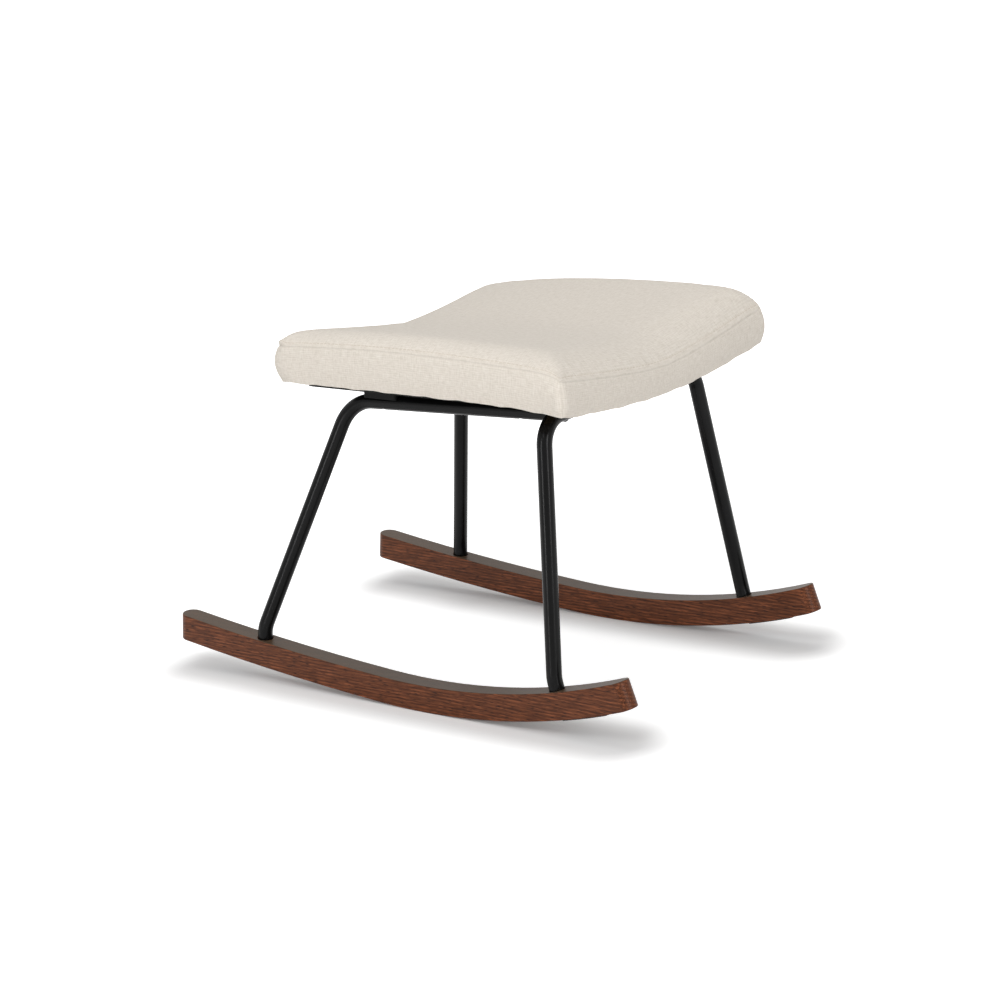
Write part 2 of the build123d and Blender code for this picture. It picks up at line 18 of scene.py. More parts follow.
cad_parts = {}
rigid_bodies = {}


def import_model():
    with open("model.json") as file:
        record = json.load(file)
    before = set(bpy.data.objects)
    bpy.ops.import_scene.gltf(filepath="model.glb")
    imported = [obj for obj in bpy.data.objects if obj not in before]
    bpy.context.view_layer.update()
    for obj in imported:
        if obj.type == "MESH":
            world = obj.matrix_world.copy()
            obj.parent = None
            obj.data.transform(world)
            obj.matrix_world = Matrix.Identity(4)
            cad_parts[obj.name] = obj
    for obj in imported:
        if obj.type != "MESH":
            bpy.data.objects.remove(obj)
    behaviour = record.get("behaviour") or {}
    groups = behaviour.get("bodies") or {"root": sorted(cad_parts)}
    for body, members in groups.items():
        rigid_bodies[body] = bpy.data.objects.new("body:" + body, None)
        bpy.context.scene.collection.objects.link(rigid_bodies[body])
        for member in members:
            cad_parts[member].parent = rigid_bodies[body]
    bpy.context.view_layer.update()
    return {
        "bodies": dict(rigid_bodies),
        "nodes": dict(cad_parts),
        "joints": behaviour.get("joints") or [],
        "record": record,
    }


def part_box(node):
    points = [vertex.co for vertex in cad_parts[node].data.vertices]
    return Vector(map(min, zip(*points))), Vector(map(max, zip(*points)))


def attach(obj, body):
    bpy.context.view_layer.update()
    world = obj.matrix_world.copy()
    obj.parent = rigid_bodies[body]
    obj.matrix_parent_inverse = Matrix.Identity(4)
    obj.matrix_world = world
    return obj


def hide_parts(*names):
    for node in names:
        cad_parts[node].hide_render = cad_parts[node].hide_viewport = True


MM = 0.001
BODY = "root"                           # the stool rocks as one body
TURN = 2 * math.pi
TINY = 1e-9                             # keeps a division by a length from dividing by nothing
log = logging.getLogger("footstool")


# ---------------------------------------------------------------- shared tools

def linear(hex_colour: str) -> tuple[float, float, float, float]:
    """Turn an sRGB hex colour into the linear colour that a shader takes.

    Args:
        hex_colour: Six hex digits, such as "6b3d2b".

    Returns:
        Linear red, green and blue, and an alpha of 1.
    """
    parts = [int(hex_colour[start:start + 2], 16) / 255 for start in (0, 2, 4)]
    low = [c / 12.92 if c <= 0.04045 else ((c + 0.055) / 1.055) ** 2.4 for c in parts]
    return low[0], low[1], low[2], 1.0


def add_node(tree: bpy.types.NodeTree, kind: str, inputs: dict[Any, Any] | None = None,
             **settings: Any) -> bpy.types.Node:
    """Add one node with its settings, and link or set its inputs.

    Args:
        tree: Node tree of a material or of the world.
        kind: Type name of the node.
        inputs: Socket name or number to a value, or to the output socket to link from.
        **settings: Attributes of the node.

    Returns:
        The new node.
    """
    node = tree.nodes.new(kind)
    for name, value in settings.items():
        setattr(node, name, value)
    for name, value in (inputs or {}).items():
        if isinstance(value, bpy.types.NodeSocket):
            tree.links.new(value, node.inputs[name])
        else:
            node.inputs[name].default_value = value
    return node


def ramp(tree: bpy.types.NodeTree, source: bpy.types.NodeSocket,
         stops: Sequence[tuple[float, str]]) -> bpy.types.NodeSocket:
    """Add a colour ramp.

    Args:
        tree: Node tree of a material.
        source: Socket that drives the ramp.
        stops: Places from 0 to 1, each with its hex colour.

    Returns:
        The ramp's colour socket.
    """
    node = add_node(tree, "ShaderNodeValToRGB", {"Fac": source})
    elements = node.color_ramp.elements
    for _ in stops[2:]:
        elements.new(0.5)
    for element, (place, colour) in zip(elements, stops):
        element.position = place
        element.color = linear(colour)
    return node.outputs["Color"]


def new_material(name: str) -> tuple[bpy.types.Material, bpy.types.NodeTree, bpy.types.Node]:
    """Start a material with an empty tree, a Principled shader and an output.

    Args:
        name: The material's name.

    Returns:
        The material, its node tree and its Principled shader.
    """
    material = bpy.data.materials.new(name)
    material.use_nodes = True
    tree = material.node_tree
    tree.nodes.clear()
    shader = add_node(tree, "ShaderNodeBsdfPrincipled")
    add_node(tree, "ShaderNodeOutputMaterial", {"Surface": shader.outputs["BSDF"]})
    return material, tree, shader


def object_place(tree: bpy.types.NodeTree, scale: Sequence[float],
                 shift: Sequence[float] = (0.0, 0.0, 0.0)) -> bpy.types.NodeSocket:
    """Object coordinates, moved and then scaled.

    Args:
        tree: Node tree of a material.
        scale: Repeats per metre along X, Y and Z.
        shift: Metres added before the scaling.

    Returns:
        The vector socket.
    """
    coordinates = add_node(tree, "ShaderNodeTexCoord")
    moved = add_node(tree, "ShaderNodeVectorMath",
                     {0: coordinates.outputs["Object"], 1: tuple(shift)}, operation="ADD")
    scaled = add_node(tree, "ShaderNodeVectorMath",
                      {0: moved.outputs[0], 1: tuple(scale)}, operation="MULTIPLY")
    return scaled.outputs[0]


def deselect() -> None:
    """Leave nothing selected, the CAD nodes included."""
    for item in bpy.context.view_layer.objects:
        item.select_set(False)


def make_active(piece: bpy.types.Object) -> None:
    """Select one piece alone and make it active.

    Args:
        piece: The piece.
    """
    deselect()
    piece.select_set(True)
    bpy.context.view_layer.objects.active = piece


def apply_modifier(piece: bpy.types.Object, kind: str, **settings: Any) -> None:
    """Add a modifier to a piece and apply it at once.

    Args:
        piece: The piece.
        kind: Type of the modifier.
        **settings: Attributes of the modifier.
    """
    make_active(piece)
    modifier = piece.modifiers.new(kind.title(), kind)
    for name, value in settings.items():
        setattr(modifier, name, value)
    bpy.ops.object.modifier_apply(modifier=modifier.name)


def finish_piece(piece: bpy.types.Object, name: str, material: bpy.types.Material,
                 replaces: Sequence[str] = ()) -> bpy.types.Object:
    """Name and dress a finished piece and let it ride on the stool.

    Args:
        piece: The finished piece.
        name: Its name.
        material: Its material.
        replaces: CAD nodes that it stands for.

    Returns:
        The piece.
    """
    piece.name = name
    piece.data.name = name
    piece.data.materials.clear()
    piece.data.materials.append(material)
    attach(piece, BODY)
    if replaces:
        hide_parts(*replaces)
    log.info("%s: %d faces", name, len(piece.data.polygons))
    return piece


# ---------------------------------------------------------------- finishes

@dataclass(frozen=True)
class LinenWeave:
    """Linen upholstery cloth: a plain weave of uneven threads, matt, with slubs that catch the light.

    The real threads are about 0.8 mm apart. They are drawn 2.2 mm apart, which is as fine as the render
    can show. The pattern follows the cover's own map, in metres.
    """

    name: str = "off_white_linen_weave"
    thread: str = "ddd5ca"
    # darkest tone, reached by the painted shade between the threads and by the slubs' own tone
    shade: str = "c9c0b3"
    slub: str = "ebe5dc"
    shadow: str = "6a5d4e"              # down in a seam
    pitch: float = 2.2 * MM
    slub_length: float = 9 * MM
    slub_width: float = 1.5 * MM
    relief: float = 0.20 * MM
    seam_painted_shade: float = 0.17            # painted shade: how much darker the cloth is drawn where it dips into a seam
    wander: float = 7.0                 # of a row of threads, in radians of its wave
    weave_painted_shade: float = 0.08            # painted shade and highlight: how much the threads' height shows in the colour, darker where they dip
    tone_shift: float = -0.06
    streak_tone: float = 0.48           # and the slubs'
    tone_stops: tuple[float, float, float] = (0.22, 0.5, 0.78)      # of the shade, the thread and the slub
    streak_relief: float = 1.6          # the slubs' height, in thread heights
    bump: float = 0.55
    roughness: float = 0.92
    fibre_ior: float = 1.45
    specular: float = 0.25
    sheen: float = 0.12
    sheen_roughness: float = 0.5

    def build(self) -> bpy.types.Material:
        """Make the material.

        Returns:
            The material.
        """
        material, tree, shader = new_material(self.name)
        place = add_node(tree, "ShaderNodeUVMap", uv_map="weave").outputs["UV"]
        warp = (1 / self.slub_width, 1 / self.slub_length)
        weft = (1 / self.slub_length, 1 / self.slub_width)
        split = add_node(tree, "ShaderNodeSeparateXYZ", {0: place})
        over = self._thread(tree, split.outputs["X"], place, warp)
        under = self._thread(tree, split.outputs["Y"], place, weft)
        height = add_node(tree, "ShaderNodeMath", {0: over, 1: under}, operation="ADD").outputs[0]
        streaks = add_node(tree, "ShaderNodeMath",
                           {0: self._streaks(tree, place, warp), 1: self._streaks(tree, place, weft)},
                           operation="ADD").outputs[0]
        level = add_node(tree, "ShaderNodeMath", {0: height, 1: self.weave_painted_shade, 2: self.tone_shift},
                         operation="MULTIPLY_ADD")
        mixed = add_node(tree, "ShaderNodeMath", {0: streaks, 1: self.streak_tone, 2: level.outputs[0]},
                         operation="MULTIPLY_ADD")
        colours = (self.shade, self.thread, self.slub)
        colour = ramp(tree, mixed.outputs[0], list(zip(self.tone_stops, colours)))
        relief = add_node(tree, "ShaderNodeMath", {0: streaks, 1: self.streak_relief, 2: height},
                          operation="MULTIPLY_ADD")
        bump = add_node(tree, "ShaderNodeBump",
                        {"Strength": self.bump, "Distance": self.relief, "Height": relief.outputs[0]})
        # painted shade: the cloth is drawn darker along the seams, where their groove holds shade
        seam = add_node(tree, "ShaderNodeAttribute", attribute_name="seam")
        shade_share = add_node(tree, "ShaderNodeMath", {0: seam.outputs["Fac"], 1: self.seam_painted_shade},
                       operation="MULTIPLY")
        seam_shaded = add_node(tree, "ShaderNodeMix",
                        {0: shade_share.outputs[0], "A": colour, "B": linear(self.shadow)}, data_type="RGBA")
        tree.links.new(seam_shaded.outputs["Result"], shader.inputs["Base Color"])
        tree.links.new(bump.outputs["Normal"], shader.inputs["Normal"])
        shader.inputs["Roughness"].default_value = self.roughness
        shader.inputs["IOR"].default_value = self.fibre_ior
        shader.inputs["Specular IOR Level"].default_value = self.specular
        shader.inputs["Sheen Weight"].default_value = self.sheen
        shader.inputs["Sheen Roughness"].default_value = self.sheen_roughness
        return material

    def _thread(self, tree: bpy.types.NodeTree, coordinate: bpy.types.NodeSocket,
                place: bpy.types.NodeSocket, stretch: tuple[float, float]) -> bpy.types.NodeSocket:
        """Height of one set of threads, with uneven spacing.

        Args:
            tree: Node tree of the material.
            coordinate: Coordinate across the threads, in metres.
            place: Vector for the unevenness.
            stretch: Repeats per metre of the unevenness along the two directions.

        Returns:
            A socket from 0 to 1.
        """
        turns = add_node(tree, "ShaderNodeMath", {0: coordinate, 1: TURN / self.pitch}, operation="MULTIPLY")
        phase = add_node(tree, "ShaderNodeMath",
                         {0: self._streaks(tree, place, stretch), 1: self.wander, 2: turns.outputs[0]},
                         operation="MULTIPLY_ADD")
        wave = add_node(tree, "ShaderNodeMath", {0: phase.outputs[0]}, operation="SINE")
        return add_node(tree, "ShaderNodeMath", {0: wave.outputs[0], 1: 0.5, 2: 0.5},
                        operation="MULTIPLY_ADD").outputs[0]

    def _streaks(self, tree: bpy.types.NodeTree, place: bpy.types.NodeSocket,
                 stretch: tuple[float, float]) -> bpy.types.NodeSocket:
        """Long thin noise along one set of threads.

        Args:
            tree: Node tree of the material.
            place: Vector that the noise reads.
            stretch: Repeats per metre along the two directions.

        Returns:
            A socket from 0 to 1.
        """
        stretched = add_node(tree, "ShaderNodeVectorMath", {0: place, 1: (*stretch, 0.0)},
                             operation="MULTIPLY")
        noise = add_node(tree, "ShaderNodeTexNoise",
                         {"Vector": stretched.outputs[0], "Scale": 1.0, "Detail": 2.0, "Roughness": 0.6})
        return noise.outputs["Fac"]


@dataclass(frozen=True)
class StainedAsh:
    """Solid ash, stained walnut.

    Its straight open grain is cut by the rocker's curve, and a thin satin lacquer gives it a dull shine.
    """

    name: str = "walnut_stained_ash"
    pale: str = "894f32"
    body: str = "62361f"
    dark: str = "43210f"
    pore: str = "2a1309"
    top: str = "4d4133"                 # painted reflection: the upper faces are drawn greyer, standing in for the pale room that they reflect
    painted_reflection: float = 0.85                # how strongly that painted reflection shows
    reflection_from: float = 0.7            # upward part of a face's normal at which that starts
    reflection_to: float = 0.95
    ring: float = 4.4 * MM
    ring_bow: float = 0.35              # how far the rings lean across the plank
    ring_wander: float = 16 * MM
    wander_scale: tuple[float, float, float] = (9.0, 1.9, 9.0)
    ring_tone: float = 0.07             # how much the rings show in the colour
    tone_shift: float = 0.02
    fibre_tone: float = 0.95            # and the fine fibres
    tone_stops: tuple[float, float, float] = (0.34, 0.52, 0.7)      # of the dark, the body and the pale
    fibre_width: float = 1.5 * MM
    fibre_length: float = 30 * MM
    pore_width: float = 0.8 * MM
    pore_length: float = 11 * MM
    pore_from: float = 0.58             # level of the noise at which a pore starts
    pore_to: float = 0.68
    pith: tuple[float, float, float] = (0.03, 0.0, 0.02)    # where the rings have their middle
    relief: float = 0.05 * MM
    bump: float = 0.6
    roughness: float = 0.4
    lacquer_ior: float = 1.5
    specular: float = 0.17

    def build(self) -> bpy.types.Material:
        """Make the material.

        Returns:
            The material.
        """
        material, tree, shader = new_material(self.name)
        pore = self._pores(tree)
        inked = add_node(tree, "ShaderNodeMix",
                         {0: pore, "A": self._grain(tree), "B": linear(self.pore)}, data_type="RGBA")
        facing = add_node(tree, "ShaderNodeSeparateXYZ",
                          {0: add_node(tree, "ShaderNodeTexCoord").outputs["Normal"]})
        # painted reflection: faces that point up are mixed towards a grey, standing in for the pale room that
        # they reflect
        upward = add_node(tree, "ShaderNodeMapRange",
                          {"Value": facing.outputs["Z"], "From Min": self.reflection_from,
                           "From Max": self.reflection_to, "To Max": self.painted_reflection})
        painted_reflection = add_node(tree, "ShaderNodeMix",
                          {0: upward.outputs["Result"], "A": inked.outputs["Result"], "B": linear(self.top)},
                          data_type="RGBA")
        bump = add_node(tree, "ShaderNodeBump",
                        {"Strength": self.bump, "Distance": self.relief, "Height": pore}, invert=True)
        tree.links.new(painted_reflection.outputs["Result"], shader.inputs["Base Color"])
        tree.links.new(bump.outputs["Normal"], shader.inputs["Normal"])
        shader.inputs["Roughness"].default_value = self.roughness
        shader.inputs["IOR"].default_value = self.lacquer_ior
        shader.inputs["Specular IOR Level"].default_value = self.specular
        return material

    def _grain(self, tree: bpy.types.NodeTree) -> bpy.types.NodeSocket:
        """Colour of the wood between its pores: wide rings, and fine fibres along the plank.

        Args:
            tree: Node tree of the material.

        Returns:
            The colour socket.
        """
        drift = add_node(tree, "ShaderNodeTexNoise",
                         {"Vector": object_place(tree, self.wander_scale), "Scale": 1.0, "Detail": 3.0})
        split = add_node(tree, "ShaderNodeSeparateXYZ", {0: object_place(tree, (1.0, 1.0, 1.0), self.pith)})
        bow = add_node(tree, "ShaderNodeMath", {0: split.outputs["X"], 1: self.ring_bow},
                       operation="MULTIPLY")
        radius = add_node(tree, "ShaderNodeMath", {0: split.outputs["Z"], 1: bow.outputs[0]},
                          operation="ADD")
        wander = add_node(tree, "ShaderNodeMath",
                          {0: drift.outputs["Fac"], 1: self.ring_wander, 2: radius.outputs[0]},
                          operation="MULTIPLY_ADD")
        turns = add_node(tree, "ShaderNodeMath", {0: wander.outputs[0], 1: TURN / self.ring},
                         operation="MULTIPLY")
        rings = add_node(tree, "ShaderNodeMath", {0: turns.outputs[0]}, operation="SINE")
        fibre = (1 / self.fibre_width, 1 / self.fibre_length, 1 / self.fibre_width)
        fine = add_node(tree, "ShaderNodeTexNoise", {"Vector": object_place(tree, fibre), "Scale": 1.0,
                                                     "Detail": 3.0, "Roughness": 0.65})
        level = add_node(tree, "ShaderNodeMath",
                         {0: rings.outputs[0], 1: self.ring_tone, 2: self.tone_shift},
                         operation="MULTIPLY_ADD")
        grain = add_node(tree, "ShaderNodeMath",
                         {0: fine.outputs["Fac"], 1: self.fibre_tone, 2: level.outputs[0]},
                         operation="MULTIPLY_ADD")
        return ramp(tree, grain.outputs[0], list(zip(self.tone_stops, (self.dark, self.body, self.pale))))

    def _pores(self, tree: bpy.types.NodeTree) -> bpy.types.NodeSocket:
        """Short dark lines along the plank, where the open pores hold more stain.

        Args:
            tree: Node tree of the material.

        Returns:
            A socket that is 1 in a pore.
        """
        stretch = (1 / self.pore_width, 1 / self.pore_length, 1 / self.pore_width)
        pores = add_node(tree, "ShaderNodeTexNoise",
                         {"Vector": object_place(tree, stretch), "Scale": 1.0, "Detail": 1.0})
        return add_node(tree, "ShaderNodeMapRange",
                        {"Value": pores.outputs["Fac"], "From Min": self.pore_from,
                         "From Max": self.pore_to}).outputs["Result"]


@dataclass(frozen=True)
class Coated:
    """A hard even finish with a fine grain of its own, such as a coat, an oxide, a plate or a moulding."""

    name: str
    colour: str
    worn: str
    roughness: float
    metallic: float = 0.0
    specular: float = 0.3
    grain: float = 1.0 * MM
    relief: float = 0.02 * MM
    bump: float = 0.35
    cloud: float = 40 * MM              # size of the pale and dark clouds
    smoother: float = 0.05              # how far the roughness falls in one cloud
    rougher: float = 0.07               # and rises in another

    def build(self) -> bpy.types.Material:
        """Make the material.

        Returns:
            The material.
        """
        material, tree, shader = new_material(self.name)
        fine = add_node(tree, "ShaderNodeTexNoise", {"Vector": object_place(tree, (1 / self.grain,) * 3),
                                                     "Scale": 1.0, "Detail": 2.0})
        broad = add_node(tree, "ShaderNodeTexNoise", {"Vector": object_place(tree, (1 / self.cloud,) * 3),
                                                      "Scale": 1.0, "Detail": 3.0})
        colour = ramp(tree, broad.outputs["Fac"], [(0.35, self.colour), (0.75, self.worn)])
        rough = add_node(tree, "ShaderNodeMapRange",
                         {"Value": broad.outputs["Fac"], "To Min": self.roughness - self.smoother,
                          "To Max": self.roughness + self.rougher})
        bump = add_node(tree, "ShaderNodeBump",
                        {"Strength": self.bump, "Distance": self.relief, "Height": fine.outputs["Fac"]})
        tree.links.new(colour, shader.inputs["Base Color"])
        tree.links.new(rough.outputs["Result"], shader.inputs["Roughness"])
        tree.links.new(bump.outputs["Normal"], shader.inputs["Normal"])
        shader.inputs["Metallic"].default_value = self.metallic
        shader.inputs["Specular IOR Level"].default_value = self.specular
        return material


@dataclass(frozen=True)
class BentPlywood:
    """Raw birch plywood: pale faces and, on the edges, thin layers that alternate light and dark."""

    name: str = "raw_birch_plywood"
    pale: str = "d8bd90"
    dark: str = "b48d5c"
    layer: float = 1.6 * MM
    grain_width: float = 3 * MM
    grain_length: float = 70 * MM
    relief: float = 0.05 * MM
    bump: float = 0.3
    roughness: float = 0.65

    def build(self) -> bpy.types.Material:
        """Make the material.

        Returns:
            The material.
        """
        material, tree, shader = new_material(self.name)
        stretch = (1 / self.grain_width, 1 / self.grain_length, 1 / self.layer)
        grain = add_node(tree, "ShaderNodeTexNoise",
                         {"Vector": object_place(tree, stretch), "Scale": 1.0, "Detail": 3.0})
        colour = ramp(tree, grain.outputs["Fac"], [(0.3, self.dark), (0.7, self.pale)])
        bump = add_node(tree, "ShaderNodeBump",
                        {"Strength": self.bump, "Distance": self.relief, "Height": grain.outputs["Fac"]})
        tree.links.new(colour, shader.inputs["Base Color"])
        tree.links.new(bump.outputs["Normal"], shader.inputs["Normal"])
        shader.inputs["Roughness"].default_value = self.roughness
        return material


# Smooth black that shows a soft bright line along each tube
POWDER_COAT = Coated("satin_black_powder_coat", "060606", "0b0b0c", 0.22, specular=0.13, grain=1.3 * MM)
# Near-black steel with a dull metal sheen, on screws and bolts
BLACK_OXIDE = Coated("black_oxide_steel", "121213", "232324", 0.42, metallic=0.6, grain=0.6 * MM)
# Pale grey metal, slightly cloudy, on washers, nuts, plugs and staples
ZINC_PLATE = Coated("zinc_plated_steel", "b9bab6", "96968f", 0.36, metallic=1.0, grain=0.8 * MM)
# Matt black with a fine even grain
NYLON = Coated("moulded_black_nylon", "0b0b0b", "111111", 0.6, specular=0.12, grain=0.8 * MM)
# Very dull brown-black
RUBBER = Coated("dark_rubber", "1c1816", "2a2522", 0.85, grain=0.7 * MM, relief=0.06 * MM)
# Black that lets the plywood's open grain show as a slight unevenness
LACQUERED_PLY = Coated("black_lacquered_plywood", "0a0a09", "131312", 0.5, specular=0.15,
                       grain=2.5 * MM, relief=0.06 * MM)
# Twisted thread, a little darker than the cloth that it is sewn into
SEWING_THREAD = Coated("off_white_polyester_thread", "c6baa9", "d6ccbd", 0.6, grain=0.4 * MM)


# ---------------------------------------------------------------- cushion

@dataclass
class Cushion:
    """The upholstered seat: foam under a linen cover, seamed round its top and down its front corners."""

    # Plan
    half_width: float = 208 * MM
    front_corner: float = 8 * MM
    rear_corner: float = 30 * MM
    least_front_corner: float = 2 * MM  # what is left of a corner's roundness further in
    least_rear_corner: float = 4 * MM

    # Top seam
    corner_seam: float = 434 * MM       # its height at the front corners
    saddle: float = 26.6 * MM           # how much lower it is at the middle of an end
    saddle_power: float = 1.3
    saddle_round: float = 0.12          # of the half width: how wide the trough's floor is rounded
    quick_rise: float = 9 * MM          # of a side, right behind the front corner
    quick_run: float = 14 * MM
    slow_rise: float = 8 * MM           # and from there to the middle of the side
    slow_span: float = 0.88             # puts a side's highest place a little behind its middle
    slow_power: float = 1.3
    lean: float = 9 * MM                # how far the right side is twisted up in front
    lean_turn: float = 2.6              # how quickly that turns into leaning down towards the rear
    lean_run: float = 25 * MM
    rear_droop: float = 11 * MM         # of the right rear corner
    droop_power: float = 10
    rear_fill: float = 3.4 * MM         # how much shallower the trough is at the rear
    fill_power: float = 1.5

    # Lower edge, measured down from the board's underside
    hem_drop: float = 0.6 * MM          # at the rear
    front_drop: float = 5.2 * MM        # at the middle of the front
    drop_run: float = 120 * MM
    corner_drop: float = 5.5 * MM       # and how much more at the front corners
    corner_run: float = 45 * MM
    corner_power: float = 4
    wave_power: float = 3               # how quickly the waves fade up the band
    staple_waves: tuple[tuple[float, float, float], ...] = (    # height, length and start of each
        (0.45 * MM, 44 * MM, 0.0), (0.35 * MM, 71 * MM, 1.3), (0.3 * MM, 25 * MM, 0.4))

    # Crown and bulges
    crown: float = 17.8 * MM
    crown_run: float = 28 * MM
    crown_power: float = 0.75
    band_bulge: float = 3.0 * MM
    rear_bulge: float = 8.5 * MM
    corner_bulge: float = 3.0 * MM      # at the front corners, on top of the band's
    corner_fade: float = 22 * MM
    bulge_span: float = 1.04
    bulge_power: float = 0.85

    # Hem under the board
    hem_inset: float = 42 * MM          # how far the cover is turned under
    hem_thick: float = 1.5 * MM
    hem_skin: float = 0.25 * MM         # between the hem and the board
    hem_lip: float = 0.4 * MM           # roundness of the hem's cut edge
    lip_share: float = 0.6              # of the hem's thickness, at which that is fullest
    hem_first: float = 4 * MM           # mesh rows of the hem, in from the board's edge
    hem_second: float = 14 * MM
    hem_third: float = 9 * MM           # and out from the cut edge
    over_board: float = 20 * MM         # how far the cushion's inside is closed over the board in a rim
    hem_roll: float = 5 * MM            # how the cover rolls under at the lower edge
    roll_turns: tuple[int, ...] = (0, 35, 70)
    roll_sink: float = 0.1
    board_gap: float = 1.0 * MM         # from the board to the cushion's inside
    saddle_radius: float = 983 * MM
    board_thick: float = 10 * MM

    # Mesh rows
    step: float = 8.0 * MM
    seam_step: float = 1.1 * MM         # beside a seam, widening inwards by the growth
    growth: float = 1.65
    band_rows: tuple[float, ...] = (0.035, 0.09, 0.18, 0.30, 0.43, 0.56, 0.68, 0.79, 0.88, 0.95)

    # Cover's swelling, as cloth held at its seam and its lower edge
    cloth_quality: int = 5
    cloth_mass: float = 0.3
    stretch_stiffness: float = 15
    bend_stiffness: float = 0.5
    pressure: float = 4.0
    cloth_frames: int = 20
    swell_limit: float = 3.5 * MM

    # Seams and stitches
    seam_depth: float = 1.1 * MM
    seam_crease: float = 0.9
    corner_seam_share: float = 0.5      # of the depth and the painted shade, at a corner seam
    corner_crease: float = 0.8
    stitch_inset: float = 3.2 * MM
    stitch_pitch: float = 6.0 * MM
    stitch_length: float = 4.2 * MM
    stitch_radius: float = 0.3 * MM
    stitch_sides: int = 6
    stitch_rows: tuple[tuple[float, float], ...] = (            # share of its length, and rise in radii
        (0.0, -0.3), (0.2, 0.5), (0.8, 0.5), (1.0, -0.3))
    path_points: int = 400              # along each side, when the stitches are spaced

    def __post_init__(self) -> None:
        """Read from the frame where the seat lies."""
        low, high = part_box("cover_left_band")
        self.front, self.rear = low[1], high[1]
        board_low, board_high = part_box("seat_board")
        self.board_half = board_high[0]
        self.board_low = board_low[2]
        self.length = self.rear - self.front

    # -- the form, as formulas

    def seam_height(self, x: float, y: float) -> float:
        """Height of the surface stretched between the four sides of the seam.

        Args:
            x: Place across.
            y: Place along.

        Returns:
            The height.
        """
        run = y - self.front
        share = run / self.length
        across = x / self.half_width
        rightness = (across + 1) / 2
        side = (self.corner_seam + self.quick_rise * (1 - math.exp(-run / self.quick_run))
                + self.slow_rise * math.sin(math.pi * min(self.slow_span * share, 1.0)) ** self.slow_power)
        twist = (self.lean * rightness * (1 - self.lean_turn * share)
                 * (1 - math.exp(-run / self.lean_run)))
        droop = self.rear_droop * rightness * share ** self.droop_power
        fill = self.rear_fill * (1 - across ** 2) * share ** self.fill_power
        return side + twist - droop + fill - self.saddle * (1 - self._wall(across))

    def _wall(self, across: float) -> float:
        """Rise of the trough's wall.

        Args:
            across: Place across, from -1 to 1.

        Returns:
            0 at the trough's middle and 1 at a side.
        """
        half_power = self.saddle_power / 2
        floor = self.saddle_round ** self.saddle_power
        rise = (across ** 2 + self.saddle_round ** 2) ** half_power - floor
        return rise / ((1 + self.saddle_round ** 2) ** half_power - floor)

    def hem_height(self, x: float, y: float) -> float:
        """Height of the cover's lowest edge.

        Args:
            x: Place across.
            y: Place along.

        Returns:
            The height.
        """
        across = min(abs(x) / self.half_width, 1.0)
        run = y - self.front
        drop = (self.hem_drop + (self.front_drop - self.hem_drop) * math.exp(-run / self.drop_run)
                + self.corner_drop * across ** self.corner_power * math.exp(-run / self.corner_run))
        return self.board_under(x) - drop

    def board_under(self, x: float) -> float:
        """Height of the seat board's underside."""
        return self.board_low + self.saddle_radius - math.sqrt(self.saddle_radius ** 2 - x ** 2)

    def crown_height(self, x: float, y: float) -> float:
        """How far the top panel stands over the seam's surface.

        Args:
            x: Place across.
            y: Place along.

        Returns:
            The rise.
        """
        edge_x = max(self.half_width - abs(x), 0.0)
        edge_y = max(min(y - self.front, self.rear - y), 0.0)
        return self.crown * self._swell(edge_x) * self._swell(edge_y)

    def _swell(self, distance: float) -> float:
        """0 on a seam and 1 from the crown's run inwards, steep beside the seam and level at the end."""
        return math.sin(min(distance / self.crown_run, 1.0) * math.pi / 2) ** self.crown_power

    def outline(self, inset: float, across: np.ndarray, along: np.ndarray) -> np.ndarray:
        """Points round the seat seen from above, anticlockwise from the middle of the front left corner.

        Args:
            inset: Distance inside the seam's outline.
            across: Places from 0 to 1 along the front and along the rear.
            along: Places from 0 to 1 along each side.

        Returns:
            An array of x and y.
        """
        half = self.half_width - inset
        front, rear = self.front + inset, self.rear - inset
        r_front = max(self.front_corner - inset, self.least_front_corner)
        r_rear = max(self.rear_corner - inset, self.least_rear_corner)
        corners = [Vector((-half, front)), Vector((half, front)), Vector((half, rear)), Vector((-half, rear))]
        radii = [r_front, r_front, r_rear, r_rear]
        points = []
        for k in range(4):
            n = (k + 1) % 4
            places = along if k % 2 else across
            points += self._side(corners[k], corners[n], radii[k], radii[n], places)
        return np.array(points)

    def _side(self, start: Vector, end: Vector, r_start: float, r_end: float,
              places: np.ndarray) -> list[list[float]]:
        """Points of one side, from the middle of one rounded corner to just before the middle of the next.

        Args:
            start: The corner that the side starts at, were it sharp.
            end: The next corner.
            r_start: Radius of the first corner.
            r_end: Radius of the next.
            places: Places from 0 to 1 along the side.

        Returns:
            Pairs of x and y.
        """
        along = (end - start).normalized()
        inward = Vector((-along.y, along.x))
        eighth = math.pi / 4
        total = (end - start).length - (r_start + r_end) * (1 - eighth)
        points = []
        for place in places[:-1]:
            s = place * total
            if s < r_start * eighth:
                angle = eighth + s / r_start
                point = (start + (along + inward) * r_start
                         - (along * math.cos(angle) + inward * math.sin(angle)) * r_start)
            elif s > total - r_end * eighth:
                angle = eighth + (total - s) / r_end
                point = (end + (inward - along) * r_end
                         + (along * math.cos(angle) - inward * math.sin(angle)) * r_end)
            else:
                point = start + along * (r_start + s - r_start * eighth)
            points.append([point.x, point.y])
        return points

    def _spread(self, length: float) -> np.ndarray:
        """Places of mesh rows, fine beside both seams and wider inwards.

        Args:
            length: Distance between the seams.

        Returns:
            Places from 0 to 1.
        """
        steps = []
        step = self.seam_step
        while step < self.step:
            steps.append(step)
            step *= self.growth
        middle = max(round((length - 2 * sum(steps)) / self.step), 1)
        every = np.array(steps + [self.step] * middle + steps[::-1])
        places = np.concatenate([[0.0], np.cumsum(every)])
        return places / places[-1]

    # -- the mesh

